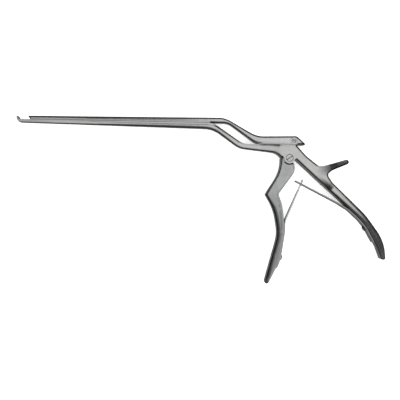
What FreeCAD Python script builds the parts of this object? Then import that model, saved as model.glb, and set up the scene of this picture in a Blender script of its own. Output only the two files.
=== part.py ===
import FreeCAD, Part
import math
import os

import Sketcher

# A bone punch: a long fixed shaft that turns up into a foot at its tip and runs back into the
# body and the rear handle, a shaft that slides on it, and a front handle that drives the slide.
# Millimetres. The origin is the pivot of the front handle, on the plane that the punch lies on.
# +X runs back from the foot to the handles, +Y up from the handles to the slide, +Z out of the
# side that faces up when the punch is laid down.

doc = FreeCAD.newDocument("bone_punch")
sheet = doc.addObject("Spreadsheet::Sheet", "sizes")
next_row = 1


class Size:
    """A length or an angle that carries its own formula, so a sketch can be bound to the sheet."""

    def __init__(self, value, text):
        self.value = value
        self.text = text

    def __add__(self, other):
        other = as_size(other)
        return Size(self.value + other.value, f"({self.text} + {other.text})")

    def __sub__(self, other):
        other = as_size(other)
        return Size(self.value - other.value, f"({self.text} - {other.text})")

    def __mul__(self, other):
        other = as_size(other)
        return Size(self.value * other.value, f"({self.text} * {other.text})")

    def __truediv__(self, other):
        other = as_size(other)
        return Size(self.value / other.value, f"({self.text} / {other.text})")

    def __neg__(self):
        return Size(-self.value, f"(0 - {self.text})")

    def __radd__(self, other):
        return as_size(other) + self

    def __rsub__(self, other):
        return as_size(other) - self

    def __rmul__(self, other):
        return as_size(other) * self


def as_size(number):
    """Return a plain number as a Size, and a Size as it is."""
    return number if isinstance(number, Size) else Size(float(number), f"{float(number)!r}")


def tangent(angle):
    """Return the tangent of an angle in degrees."""
    return Size(math.tan(math.radians(angle.value)), f"tan({angle.text} * 1deg)")


def cosine(angle):
    """Return the cosine of an angle in degrees."""
    return Size(math.cos(math.radians(angle.value)), f"cos({angle.text} * 1deg)")


def driving(name, value):
    """Write one driving dimension into the sheet and return it as a Size."""
    global next_row
    sheet.set(f"A{next_row}", name)
    sheet.set(f"B{next_row}", str(value))
    sheet.setAlias(f"B{next_row}", name)
    next_row += 1
    return Size(float(value), f"sizes.{name}")


# Thicknesses and clearances
plate_thick = 10.0
stock = 1.0
slide_gap = 0.08
running_gap = 0.05
side_gap = 0.2

# The shafts: levels above the pivot, lengths in front of it
reach = 201.2
travel = 7.5
nose_gap = 0.1
shaft_level = 24.95
deck_level = 9.95
face_slant = 36.0
foot_rise = 2.45
foot_thick = 1.1
nose_rise = 2.65
slide_rise = 4.05
foot_depth = 2.45
shaft_depth = 4.3
tip_width = 4.4
neck_width = 6.0
taper_start = 150.0
taper_end = 60.0
taper_round = 200.0

# The bayonet, where both shafts step down to the body
heel_x = 57.3
heel_round = 20.0
dip_x = 37.2
dip_depth = 3.45
dip_round = 16.0
chin_x = 9.6
chin_depth = 6.2
chin_round = 8.5
brow_x = 57.0
brow_round = 13.0
sill_x = 34.7
sill_round = 14.0
under_high_x = 46.2
under_high_round = 11.0
under_low_x = 24.7
under_low_round = 13.0
back_high_x = 48.2
back_high_round = 18.0
back_low_x = 24.3
back_low_round = 18.0
block_rise = 5.5
crown_x = 4.9
crown_rise = 6.35
beak_x = 12.0
swell_start = 21.0
swell_end = 7.0
block_start = 35.0
block_end = 21.0

# The body and the pivot
lobe_radius = 4.2
stop_level = 0.35
stop_x = 6.2
crotch_x = 4.75
crotch_drop = 0.85
arm_thick = 3.6
arm_width = 4.8
arm_reach = 14.9
hub_radius = 3.95
pin_x = 3.2
pin_y = 12.9
pin_radius = 1.0
pin_play = 0.15
pin_head_radius = 1.4
pin_head_height = 0.9
pivot_radius = 1.8
pivot_head_radius = 2.65
pivot_head_height = 1.4
slot_width = 0.6
slot_depth = 0.5
head_chamfer = 0.25

# The hidden ways: the slide's rail and tongue, the cup and the room for the fork
arm_swing_x = 4.1
stop_gap = 0.15
block_roof = 1.05
cup_radius = 0.9
cup_depth = 2.4
rail_set_back = 15.0
rail_length = 14.0
rail_play = 0.1
rail_neck_width = 1.3
rail_head_width = 2.4
rail_neck_depth = 0.7
rail_depth = 1.5
tongue_width = 3.0
tongue_depth = 2.0
tongue_length = 10.4
tongue_back_x = 9.6

# The rear handle, its spur and the edge in front of them
back_x = 12.0
back_rise = 1.85
back_round = 13.5
shoulder_x = 22.3
shoulder_drop = 6.15
shoulder_round = 6.1
deck_end_x = 4.4
spur_high_x = 29.6
spur_high_drop = 4.15
spur_low_x = 31.3
spur_low_drop = 8.85
thumb_x = 27.95
thumb_drop = 11.7
thumb_round = 2.4
grip_start = 33.0
grip_relief = 0.5
spur_length = 15.2
spur_width = 5.0
spur_tip_width = 3.7
spur_tip_height = 3.9

# The springs and their screws
leaf_thick = 0.85
leaf_width = 8.0
leaf_neck_width = 2.0
leaf_hook_width = 4.4
leaf_screw_radius = 1.1
leaf_head_radius = 1.9
leaf_head_height = 1.1
leaf_screw_length = 3.2
leaf_play = 0.35
head_lift = 0.12
leaf_tip_width = 5.6
leaf_slot_length = 4.8
leaf_hook_length = 1.1
leaf_neck_length = 8.0
leaf_taper_length = 24.0
hook_at = 4.4
rear_screw_past = 3.0
rear_leaf_bend_x = 36.8
rear_leaf_bend_drop = 32.2
rear_leaf_tip_x = 5.4
rear_leaf_tip_drop = 16.5
front_leaf_lift_drop = 47.5
front_leaf_tip_x = 10.4
front_leaf_tip_drop = 15.6

# The edges of both grips, as corners with their rounds: drops are below the pivot
rear_upper_x = 35.6
rear_upper_drop = 28.4
rear_upper_round = 93.0
rear_lower_x = 56.9
rear_lower_drop = 47.8
rear_lower_round = 42.0
rear_toe_x = 66.5
rear_toe_drop = 64.6
rear_toe_round = 40.0
rear_end_x = 73.0
rear_end_drop = 74.1
rear_end_width = 3.1
palm_high_x = 58.0
palm_high_drop = 41.4
palm_high_round = 62.0
palm_low_x = 71.7
palm_low_drop = 60.1
palm_low_round = 31.8
palm_start_x = 31.0
palm_start_drop = 16.1
palm_start_round = 12.0
front_waist_x = 2.82
front_waist_low_drop = 55.3
front_waist_high_drop = 48.6
front_waist_round = 45.0
front_toe_x = 5.9
front_toe_drop = 76.6
front_toe_round = 32.0
knee_x = 17.2
knee_drop = 27.5
finger_high_x = 10.5
finger_high_drop = 38.8
finger_low_x = 7.4
finger_low_drop = 57.0
finger_end_x = 17.2
finger_end_drop = 95.2
front_end_x = 14.0
front_end_drop = 93.4
front_brow_x = 6.65
front_brow_drop = 10.3
front_brow_round = 27.0
front_bow_x = 4.9
front_bow_drop = 34.1
front_bow_round = 20.0
front_notch_x = 7.8
front_notch_drop = 27.0
front_notch_round = 2.2
front_heel_x = 4.5
front_heel_drop = 9.6
front_heel_round = 9.0
front_neck_x = 3.55
front_neck_drop = 4.7
front_screw_past = 2.6

# Roundings and broken edges
finger_round = 1.7
palm_round = 1.6
grip_inner_round = 0.9
shaft_under_edge = 0.7
shaft_top_edge = 0.7
block_edge = 0.6

# What the sketches of cuts reach past the plates
cut_past = 300.0

plain_sizes = {name: value for name, value in globals().items() if isinstance(value, float)}
for name, value in plain_sizes.items():
    globals()[name] = driving(name, value)
half_plate = plate_thick / 2
doc.recompute()


def origin_plane(body, role):
    """Return one of a body's own origin planes."""
    return next(item for item in body.Origin.OriginFeatures if item.Role == role)


def new_body(label):
    """Start a piece, built about its own middle plane and placed on the resting plane."""
    body = doc.addObject("PartDesign::Body", f"{label}_body")
    body.setExpression("Placement.Base.z", half_plate.text)
    return body


def new_sketch(body, name, role="XY_Plane", offset=None, shift=None):
    """Start a sketch on an origin plane, moved along its normal by shift or placed by offset."""
    sketch = body.newObject("Sketcher::SketchObject", name)
    sketch.AttachmentSupport = [(origin_plane(body, role), "")]
    sketch.MapMode = "FlatFace"
    if offset is not None:
        sketch.AttachmentOffset = offset
    if shift is not None:
        shift = as_size(shift)
        along_normal = FreeCAD.Vector(0, 0, shift.value)
        sketch.AttachmentOffset = FreeCAD.Placement(along_normal, FreeCAD.Rotation())
        sketch.setExpression("AttachmentOffset.Base.z", shift.text)
    return sketch


def as_point(corner):
    """Return a corner of an outline as a plain point of the middle plane."""
    return FreeCAD.Vector(as_size(corner[0]).value, as_size(corner[1]).value, 0)


def between(start, end, share):
    """Return the point of the line from one corner to the next at a share of its length."""
    return (start[0] + (end[0] - start[0]) * share, start[1] + (end[1] - start[1]) * share, 0)


def heading(start, end):
    """Return the direction from one corner to another."""
    return (as_point(end) - as_point(start)).normalize()


def rounded(corners):
    """Work out where the round of each corner of a closed outline begins, turns and ends."""
    points = [as_point(corner) for corner in corners]
    rounds = []
    for index, point in enumerate(points):
        radius = as_size(corners[index][2]).value
        back = (points[index - 1] - point).normalize()
        ahead = (points[(index + 1) % len(points)] - point).normalize()
        if radius == 0:
            rounds.append((point, point, point, point, 0, True))
            continue
        half = back.getAngle(ahead) / 2
        reach_along = radius / math.tan(half)
        middle = point + (back + ahead).normalize() * (radius / math.sin(half))
        turns_left = back.cross(ahead).z < 0
        top = middle + (point - middle).normalize() * radius
        begin = point + back * reach_along
        end = point + ahead * reach_along
        rounds.append((begin, top, end, middle, radius, turns_left))
    return rounds


def on_round(corners, index, along):
    """Return the point on a rounded corner a given way past its middle, and the way to its inside."""
    _, top, _, middle, radius, _ = rounded(corners)[index]
    turn = FreeCAD.Rotation(FreeCAD.Vector(0, 0, 1), math.degrees(along / radius))
    point = middle + turn.multVec(top - middle)
    return point, (middle - point).normalize()


def fix(sketch, kind, geometry, position, value, name):
    """Hold one point of a sketch at a bound distance from the origin."""
    value = as_size(value)
    index = sketch.addConstraint(Sketcher.Constraint(kind, -1, 1, geometry, position, value.value))
    sketch.renameConstraint(index, name)
    sketch.setExpression(f"Constraints.{name}", value.text)


def bind(sketch, dimensions):
    """Add the bound distances and radii of an outline."""
    for kind, geometry, position, value, name in dimensions:
        if kind == "Radius":
            value = as_size(value)
            index = sketch.addConstraint(Sketcher.Constraint("Radius", geometry, value.value))
            sketch.renameConstraint(index, name)
            sketch.setExpression(f"Constraints.{name}", value.text)
        else:
            fix(sketch, kind, geometry, position, value, name)


def draw(sketch, tag, corners):
    """Draw a closed outline: corners joined by lines and rounded by arcs, all bound to the sheet."""
    rounds = rounded(corners)
    count = len(corners)
    lines = []
    for index in range(count):
        start = rounds[index][2]
        end = rounds[(index + 1) % count][0]
        lines.append(sketch.addGeometry(Part.LineSegment(start, end), False))
    joins = []
    dimensions = []
    for index, (begin, top, end, middle, radius, turns_left) in enumerate(rounds):
        before = lines[index - 1]
        after = lines[index]
        x, y, corner_radius = corners[index]
        if radius == 0:
            joins.append(Sketcher.Constraint("Coincident", before, 2, after, 1))
            dimensions.append(("DistanceX", after, 1, x, f"{tag}{index}_x"))
            dimensions.append(("DistanceY", after, 1, y, f"{tag}{index}_y"))
            continue
        arc = sketch.addGeometry(Part.ArcOfCircle(begin, top, end), False)
        first, last = (1, 2) if turns_left else (2, 1)
        joins.append(Sketcher.Constraint("Tangent", before, 2, arc, first))
        joins.append(Sketcher.Constraint("Tangent", arc, last, after, 1))
        point = sketch.addGeometry(Part.Point(as_point(corners[index])), True)
        joins.append(Sketcher.Constraint("PointOnObject", point, 1, before))
        joins.append(Sketcher.Constraint("PointOnObject", point, 1, after))
        dimensions.append(("DistanceX", point, 1, x, f"{tag}{index}_x"))
        dimensions.append(("DistanceY", point, 1, y, f"{tag}{index}_y"))
        dimensions.append(("Radius", arc, None, corner_radius, f"{tag}{index}_r"))
    sketch.addConstraint(joins)
    bind(sketch, dimensions)


def draw_open(sketch, tag, corners):
    """Draw an open path of lines and tangent arcs, bound to the sheet."""
    rounds = rounded(corners)
    previous = None
    joins = []
    dimensions = []
    for index, (begin, top, end, middle, radius, turns_left) in enumerate(rounds):
        if index == 0:
            end = as_point(corners[0])
        if index == len(corners) - 1:
            break
        ahead = rounds[index + 1][0]
        if index + 1 == len(corners) - 1:
            ahead = as_point(corners[-1])
        line = sketch.addGeometry(Part.LineSegment(end, ahead), False)
        x, y, corner_radius = corners[index]
        if previous is None:
            dimensions.append(("DistanceX", line, 1, x, f"{tag}{index}_x"))
            dimensions.append(("DistanceY", line, 1, y, f"{tag}{index}_y"))
        else:
            arc = sketch.addGeometry(Part.ArcOfCircle(begin, top, end), False)
            first, last = (1, 2) if turns_left else (2, 1)
            joins.append(Sketcher.Constraint("Tangent", previous, 2, arc, first))
            joins.append(Sketcher.Constraint("Tangent", arc, last, line, 1))
            point = sketch.addGeometry(Part.Point(as_point(corners[index])), True)
            joins.append(Sketcher.Constraint("PointOnObject", point, 1, previous))
            joins.append(Sketcher.Constraint("PointOnObject", point, 1, line))
            dimensions.append(("DistanceX", point, 1, x, f"{tag}{index}_x"))
            dimensions.append(("DistanceY", point, 1, y, f"{tag}{index}_y"))
            dimensions.append(("Radius", arc, None, corner_radius, f"{tag}{index}_r"))
        previous = line
    x, y, _ = corners[-1]
    dimensions.append(("DistanceX", previous, 2, x, f"{tag}end_x"))
    dimensions.append(("DistanceY", previous, 2, y, f"{tag}end_y"))
    sketch.addConstraint(joins)
    bind(sketch, dimensions)


def draw_circle(sketch, tag, radius, x=None, y=None):
    """Draw a circle about the sketch's origin, or about a bound point."""
    radius = as_size(radius)
    centre_x = as_size(x if x is not None else 0)
    centre_y = as_size(y if y is not None else 0)
    centre = FreeCAD.Vector(centre_x.value, centre_y.value, 0)
    circle = sketch.addGeometry(Part.Circle(centre, FreeCAD.Vector(0, 0, 1), radius.value), False)
    if x is None and y is None:
        sketch.addConstraint(Sketcher.Constraint("Coincident", circle, 3, -1, 1))
    else:
        fix(sketch, "DistanceX", circle, 3, centre_x, f"{tag}_x")
        fix(sketch, "DistanceY", circle, 3, centre_y, f"{tag}_y")
    index = sketch.addConstraint(Sketcher.Constraint("Radius", circle, radius.value))
    sketch.renameConstraint(index, f"{tag}_r")
    sketch.setExpression(f"Constraints.{tag}_r", radius.text)


def pad(body, name, sketch, length, both_ways=False):
    """Raise a sketch into solid, from its plane or evenly both ways."""
    length = as_size(length)
    feature = body.newObject("PartDesign::Pad", name)
    feature.Profile = sketch
    feature.SideType = "Symmetric" if both_ways else "One side"
    feature.Length = length.value
    feature.setExpression("Length", length.text)
    doc.recompute()
    return feature


def pocket(body, name, sketch, length, both_ways=False, reverse=False):
    """Cut a sketch out of the solid, and stop if it cut nothing."""
    length = as_size(length)
    before = body.Shape.Volume
    feature = body.newObject("PartDesign::Pocket", name)
    feature.Profile = sketch
    feature.SideType = "Symmetric" if both_ways else "One side"
    feature.Reversed = reverse
    feature.Length = length.value
    feature.setExpression("Length", length.text)
    doc.recompute()
    if body.Shape.Volume > before - 1e-6:
        raise RuntimeError(f"{name} cuts nothing")
    return feature


def standing(point, direction):
    """Place a sketch upright: its X along a direction of the middle plane, its Y along Z."""
    along = FreeCAD.Vector(direction).normalize()
    up = FreeCAD.Vector(0, 0, 1)
    turned = FreeCAD.Rotation(along, up, along.cross(up), "XYZ")
    return FreeCAD.Placement(FreeCAD.Vector(point), turned)


def facing(point, normal):
    """Place a sketch upright and square to a direction of the middle plane, its Y along Z."""
    outward = FreeCAD.Vector(normal).normalize()
    up = FreeCAD.Vector(0, 0, 1)
    turned = FreeCAD.Rotation(up.cross(outward), up, outward, "XYZ")
    return FreeCAD.Placement(FreeCAD.Vector(point), turned)


def finish(label, body, fillets):
    """Round chosen edges of a body, each with a radius at both ends, and name the piece."""
    if not fillets:
        body.Label = label
        return body
    piece = doc.addObject("Part::Fillet", f"{label}_piece")
    piece.Base = body
    piece.Edges = fillets
    piece.Label = label
    doc.recompute()
    return piece


def flank(sketch, tag, steps):
    """Outline what is cut from both sides of a plate, from its plan: (x, half width, round)."""
    outside = half_plate + stock * 2
    first_x = steps[0][0]
    last_x = steps[-1][0]
    for side, sign in (("near", 1), ("far", -1)):
        corners = [(x, width * sign, radius) for x, width, radius in steps]
        corners += [(last_x, outside * sign, 0), (first_x, outside * sign, 0)]
        draw(sketch, f"{tag}_{side}", corners)


# The outline of the inner edge of the rear handle, from the crotch to the end, and of the
# front handle, from the end up to the knee. The springs lie on these edges.
rear_upper = (rear_upper_x, -rear_upper_drop, rear_upper_round)
rear_lower = (rear_lower_x, -rear_lower_drop, rear_lower_round)
rear_toe = (rear_toe_x, -rear_toe_drop, rear_toe_round)
front_waist_low = (-front_waist_x, -front_waist_low_drop, front_waist_round)
front_waist_high = (-front_waist_x, -front_waist_high_drop, front_waist_round)
front_toe = (-front_toe_x, -front_toe_drop, front_toe_round)
front_end = (-front_end_x, -front_end_drop, 0)

# Fixed shaft: foot, lower shaft, body, rear handle and spur, forged and milled in one piece
fixed = new_body("fixed_shaft")
foot_top = shaft_level + foot_rise
foot_lean = foot_rise * tangent(face_slant)
foot_back = foot_thick / cosine(face_slant)
spur_low = (spur_low_x, -spur_low_drop, 0)
spur_high = (spur_high_x, -spur_high_drop, 0)
palm_low = (palm_low_x, -palm_low_drop, palm_low_round)
palm_high = (palm_high_x, -palm_high_drop, palm_high_round)
shaft_tip = (-(reach + 0.2), shaft_level - foot_depth, 1.0)
shaft_heel = (-heel_x, shaft_level - shaft_depth, heel_round)
fixed_outline = [
    (-(reach + foot_lean), foot_top, 0.3),
    (-(reach + foot_lean + foot_back * 0.9), foot_top - 0.45, 0.3),
    (-(reach + foot_back + 0.95), shaft_level - 0.35, 3.0),
    shaft_tip,
    shaft_heel,
    (-dip_x, deck_level - dip_depth, dip_round),
    (-chin_x, deck_level - chin_depth, chin_round),
    (-stop_x, stop_level, 0),
    (-stop_x / 2, stop_level, 0),
    (crotch_x, -crotch_drop, 0),
    rear_upper,
    rear_lower,
    rear_toe,
    (rear_end_x - rear_end_width, -rear_end_drop, 1.9),
    (rear_end_x, -rear_end_drop, 1.4),
    palm_low,
    palm_high,
    (palm_start_x, -palm_start_drop, palm_start_round),
    (thumb_x, -thumb_drop, thumb_round),
    spur_low,
    spur_high,
    (shoulder_x, -shoulder_drop, shoulder_round),
    (back_x, back_rise, back_round),
    (deck_end_x, deck_level, 0),
    (-sill_x, deck_level, sill_round),
    (-brow_x, shaft_level, brow_round),
    (-reach, shaft_level, 0),
]
sketch = new_sketch(fixed, "fixed_outline")
draw(sketch, "c", fixed_outline)
pad(fixed, "fixed_plate", sketch, plate_thick + stock * 2, both_ways=True)
sketch = new_sketch(fixed, "lobe_outline")
draw_circle(sketch, "lobe", lobe_radius)
pad(fixed, "lobe", sketch, plate_thick + stock * 2, both_ways=True)

sketch = new_sketch(fixed, "fixed_flanks", "XZ_Plane")
front_x = -(reach + 12)
flank(sketch, "f", [
    (front_x, tip_width / 2, 0),
    (-taper_start, tip_width / 2, taper_round),
    (-taper_end, neck_width / 2, taper_round),
    (-swell_start, neck_width / 2, 14.0),
    (-swell_end, half_plate, 14.0),
    (rear_end_x + 5, half_plate, 0),
])
pocket(fixed, "fixed_sides", sketch, cut_past, both_ways=True)

# The grip's flats step down from the body's, with a round run-out behind the palm
along_grip = heading(rear_upper, rear_lower)
sketch = new_sketch(fixed, "grip_flats", offset=standing((0, 0, 0), along_grip))
flank(sketch, "g", [
    (grip_start, half_plate + grip_relief, 0),
    (grip_start + 4.0, half_plate - grip_relief, 9.0),
    (grip_start + 90.0, half_plate - grip_relief, 0),
])
pocket(fixed, "grip_relief", sketch, cut_past, both_ways=True)

# The spur behind the thumb web, blended from the plate into a round horn
spur_axis = heading(spur_low, spur_high).cross(FreeCAD.Vector(0, 0, 1))
spur_root = as_point(between(spur_low, spur_high, 0.5))
spur_mid_width = (spur_width + spur_tip_width) / 2
spur_mid_height = (plate_thick + spur_tip_height * 3) / 4
spur_bevel = 1.6
spur_sections = []
for name, share, width, height, corner in (
    ("spur_root", 0.0, spur_width, plate_thick, 0.4),
    ("spur_middle", 0.4, spur_mid_width, spur_mid_height, 1.5),
    ("spur_tip", 0.93, spur_tip_width, spur_tip_height, 1.5),
    ("spur_end", 1.0, spur_tip_width - spur_bevel, spur_tip_height - spur_bevel, 0.8),
):
    place = facing(spur_root + spur_axis * (spur_length.value * share), spur_axis)
    sketch = new_sketch(fixed, name, offset=place)
    draw(sketch, "s", [
        (-width / 2, -height / 2, corner),
        (width / 2, -height / 2, corner),
        (width / 2, height / 2, corner),
        (-width / 2, height / 2, corner),
    ])
    spur_sections.append(sketch)
spur = fixed.newObject("PartDesign::AdditiveLoft", "spur")
spur.Profile = spur_sections[0]
spur.Sections = spur_sections[1:]
spur.Ruled = True
doc.recompute()

# The mortise that the middle of the front handle swings in, open below and above
mortise_side = lobe_radius + side_gap
sketch = new_sketch(fixed, "mortise_outline")
draw(sketch, "m", [
    (-mortise_side, -(lobe_radius + 2), 0),
    (mortise_side, -(lobe_radius + 2), 0),
    (mortise_side, deck_level * 0.6, 0),
    (pin_x + arm_width / 2, deck_level, 0),
    (pin_x + arm_width / 2, deck_level + 1, 0),
    (-(arm_swing_x + arm_width / 2), deck_level + 1, 0),
    (-(arm_swing_x + arm_width / 2), deck_level, 0),
    (-mortise_side, deck_level / 4, 0),
])
pocket(fixed, "mortise", sketch, arm_thick + side_gap * 2, both_ways=True)


def rail_outline(play):
    """Outline the T rail under the slide across the shafts, or its groove with play all round."""
    neck = rail_neck_width / 2 + play
    head = rail_head_width / 2 + play
    step = shaft_level - rail_neck_depth + play
    bottom = shaft_level - rail_depth - play
    top = shaft_level + nose_rise / 4
    return [
        (top, neck, 0),
        (step, neck, 0),
        (step, head, 0),
        (bottom, head, 0),
        (bottom, -head, 0),
        (step, -head, 0),
        (step, -neck, 0),
        (top, -neck, 0),
    ]


# The groove for the T rail, and behind it the wider mouth that lets the rail in
rail_front_x = -(reach - rail_set_back)
groove_back_x = rail_front_x + rail_length + side_gap
sketch = new_sketch(fixed, "rail_groove_outline", "YZ_Plane", shift=groove_back_x)
draw(sketch, "r", rail_outline(rail_play))
pocket(fixed, "rail_groove", sketch, rail_length + travel + side_gap * 2)
mouth_back_x = groove_back_x + rail_length + side_gap * 2
sketch = new_sketch(fixed, "rail_mouth_outline", "YZ_Plane", shift=mouth_back_x)
draw(sketch, "r", [
    (shaft_level + 1, rail_head_width / 2 + rail_play, 0),
    (shaft_level - rail_depth - rail_play, rail_head_width / 2 + rail_play, 0),
    (shaft_level - rail_depth - rail_play, -(rail_head_width / 2 + rail_play), 0),
    (shaft_level + 1, -(rail_head_width / 2 + rail_play), 0),
])
pocket(fixed, "rail_mouth", sketch, rail_length + side_gap * 2)

# The deck's groove for the tongue under the slide's block
sketch = new_sketch(fixed, "tongue_groove_outline", "YZ_Plane", shift=-(tongue_back_x - side_gap))
draw(sketch, "r", [
    (deck_level + 1, tongue_width / 2 + rail_play, 0),
    (deck_level - tongue_depth - rail_play, tongue_width / 2 + rail_play, 0),
    (deck_level - tongue_depth - rail_play, -(tongue_width / 2 + rail_play), 0),
    (deck_level + 1, -(tongue_width / 2 + rail_play), 0),
])
pocket(fixed, "tongue_groove", sketch, tongue_length + travel + side_gap * 2)

# The pivot's bore and the seat of its head
sketch = new_sketch(fixed, "pivot_bore_outline")
draw_circle(sketch, "bore", pivot_radius + running_gap)
pocket(fixed, "pivot_bore", sketch, plate_thick * 2, both_ways=True)
sketch = new_sketch(fixed, "pivot_seat_outline", shift=half_plate)
draw_circle(sketch, "seat", pivot_head_radius + running_gap)
pocket(fixed, "pivot_seat", sketch, pivot_head_height)


# The rear spring's screw hole, in the inner edge of the grip
rear_bend = fixed_outline.index(rear_lower)
rear_screw_point, rear_screw_out = on_round(fixed_outline, rear_bend, -rear_screw_past.value)
sketch = new_sketch(fixed, "rear_screw_outline", offset=facing(rear_screw_point, rear_screw_out))
draw_circle(sketch, "hole", leaf_screw_radius + running_gap)
pocket(fixed, "rear_screw_hole", sketch, leaf_screw_length + side_gap)

# Sliding shaft: the upper jaw, cupped at its nose, with the block that the front handle drives
slide = new_body("sliding_shaft")
slide_under = shaft_level + slide_gap
block_under = deck_level + slide_gap
nose_x = reach - travel - nose_gap
slide_tip = (-(nose_x + nose_rise * tangent(face_slant)), shaft_level + nose_rise, 0.3)
slide_heel = (-back_high_x, shaft_level + slide_rise, back_high_round)
block_heel = (-back_low_x, deck_level + block_rise, back_low_round)
block_crown = (crown_x, deck_level + crown_rise, 2.5)
slide_outline = [
    (-nose_x, slide_under, 0),
    slide_tip,
    slide_heel,
    block_heel,
    block_crown,
    (crown_x + 3.3, deck_level + crown_rise - 2.7, 12.0),
    (beak_x, block_under, 0.3),
    (-under_low_x, block_under, under_low_round),
    (-under_high_x, slide_under, under_high_round),
]
sketch = new_sketch(slide, "slide_outline")
draw(sketch, "c", slide_outline)
pad(slide, "slide_plate", sketch, plate_thick + stock * 2, both_ways=True)
sketch = new_sketch(slide, "slide_flanks", "XZ_Plane")
flank(sketch, "f", [
    (front_x, tip_width / 2, 0),
    (-taper_start, tip_width / 2, taper_round),
    (-taper_end, neck_width / 2, taper_round),
    (-block_start, neck_width / 2, 14.0),
    (-block_end, half_plate, 14.0),
    (beak_x + 5, half_plate, 0),
])
pocket(slide, "slide_sides", sketch, cut_past, both_ways=True)

# The T rail near the tip and the tongue under the block
sketch = new_sketch(slide, "rail_outline", "YZ_Plane", shift=rail_front_x)
draw(sketch, "r", rail_outline(Size(0.0, "0.0")))
pad(slide, "rail", sketch, rail_length)
sketch = new_sketch(slide, "tongue_outline", "YZ_Plane", shift=-(tongue_back_x + tongue_length))
draw(sketch, "r", [
    (block_under + 1, tongue_width / 2, 0),
    (deck_level - tongue_depth, tongue_width / 2, 0),
    (deck_level - tongue_depth, -tongue_width / 2, 0),
    (block_under + 1, -tongue_width / 2, 0),
])
pad(slide, "tongue", sketch, tongue_length)

# The cutting cup in the nose
sketch = new_sketch(slide, "cup_outline", "YZ_Plane", shift=-(nose_x - cup_depth))
draw_circle(sketch, "cup", cup_radius, x=shaft_level + nose_rise / 2, y=0)
pocket(slide, "cup", sketch, cup_depth + nose_rise * 2)

# The room for the fork inside the block, closed on top
fork_room_top = deck_level + crown_rise - block_roof
sketch = new_sketch(slide, "fork_room_outline")
draw(sketch, "m", [
    (pin_x - arm_width * 0.75, deck_level - 3, 0),
    (pin_x + arm_width * 0.81, deck_level - 3, 0),
    (pin_x + arm_width * 0.81, pin_y - 0.3, 0),
    (pin_x + 1.7, fork_room_top, 0),
    (pin_x - 2.4, fork_room_top, 0),
    (pin_x - arm_width * 0.75, pin_y + 1.1, 0),
])
pocket(slide, "fork_room", sketch, arm_thick + side_gap * 2, both_ways=True)

# The drive screw's bore and the seat of its head
sketch = new_sketch(slide, "pin_bore_outline")
draw_circle(sketch, "bore", pin_radius + running_gap, pin_x, pin_y)
pocket(slide, "pin_bore", sketch, plate_thick * 2, both_ways=True)
sketch = new_sketch(slide, "pin_seat_outline", shift=half_plate)
draw_circle(sketch, "seat", pin_head_radius + running_gap, pin_x, pin_y)
pocket(slide, "pin_seat", sketch, pin_head_height)

# Front handle: a full plate below the pivot, and a thin middle that carries the hub and the fork
front = new_body("front_handle")
finger_high = (-finger_high_x, -finger_high_drop, 40.0)
finger_low = (-finger_low_x, -finger_low_drop, 26.0)
front_outline = [
    (-(stop_x - 0.1), stop_level - stop_gap, 0),
    (-front_brow_x, -front_brow_drop, front_brow_round),
    (-knee_x, -knee_drop, 0),
    finger_high,
    finger_low,
    (-finger_end_x, -finger_end_drop, 1.5),
    front_end,
    front_toe,
    front_waist_low,
    front_waist_high,
    (-front_bow_x, -front_bow_drop, front_bow_round),
    (-front_notch_x, -front_notch_drop, front_notch_round),
    (front_heel_x, -front_heel_drop, front_heel_round),
    (front_neck_x, -front_neck_drop, 0.3),
    (lobe_radius / 2, -(lobe_radius * 0.7), 0),
    (-lobe_radius * 0.7, stop_level - stop_gap, 0),
]
sketch = new_sketch(front, "front_outline")
draw(sketch, "c", front_outline)
pad(front, "front_plate", sketch, plate_thick, both_ways=True)
sketch = new_sketch(front, "relief_outline")
draw_circle(sketch, "relief", lobe_radius + side_gap)
pocket(front, "lobe_relief", sketch, plate_thick * 2, both_ways=True)
sketch = new_sketch(front, "hub_outline")
draw_circle(sketch, "hub", hub_radius)
pad(front, "hub", sketch, arm_thick, both_ways=True)
sketch = new_sketch(front, "web_outline")
web_drop = lobe_radius + 2.8
web_back = hub_radius - 0.75
draw(sketch, "w", [
    (-lobe_radius, -0.9, 0),
    (-lobe_radius - 1.4, -2.6, 0),
    (-lobe_radius - 1.4, -web_drop, 0),
    (web_back, -web_drop, 0),
    (web_back, -web_drop + 1.5, 0),
    (web_back - 0.2, -1.0, 0),
])
pad(front, "web", sketch, arm_thick, both_ways=True)

# The fork leans back at rest, its slot on the line from the pivot to the drive screw
lean = math.degrees(math.atan2(pin_x.value, pin_y.value))
fork_place = FreeCAD.Placement(FreeCAD.Vector(), FreeCAD.Rotation(FreeCAD.Vector(0, 0, 1), -lean))
fork_slot = pin_radius + pin_play
sketch = new_sketch(front, "fork_outline", offset=fork_place)
draw(sketch, "k", [
    (-arm_width / 2, 0.5, 0),
    (arm_width / 2, 0.5, 0),
    (arm_width / 2, arm_reach, 1.0),
    (fork_slot, arm_reach, 0.2),
    (fork_slot, pin_y - fork_slot, fork_slot * 0.9),
    (-fork_slot, pin_y - fork_slot, fork_slot * 0.9),
    (-fork_slot, arm_reach, 0.2),
    (-arm_width / 2, arm_reach, 1.0),
])
pad(front, "fork", sketch, arm_thick, both_ways=True)
sketch = new_sketch(front, "hub_bore_outline")
draw_circle(sketch, "bore", pivot_radius + running_gap)
pocket(front, "hub_bore", sketch, plate_thick * 2, both_ways=True)
front_bend = front_outline.index(front_toe)
front_screw_point, front_screw_in = on_round(front_outline, front_bend, front_screw_past.value)
front_screw_out = -front_screw_in
sketch = new_sketch(front, "front_screw_outline", offset=facing(front_screw_point, front_screw_out))
draw_circle(sketch, "hole", leaf_screw_radius + running_gap)
pocket(front, "front_screw_hole", sketch, leaf_screw_length + side_gap)


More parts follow.
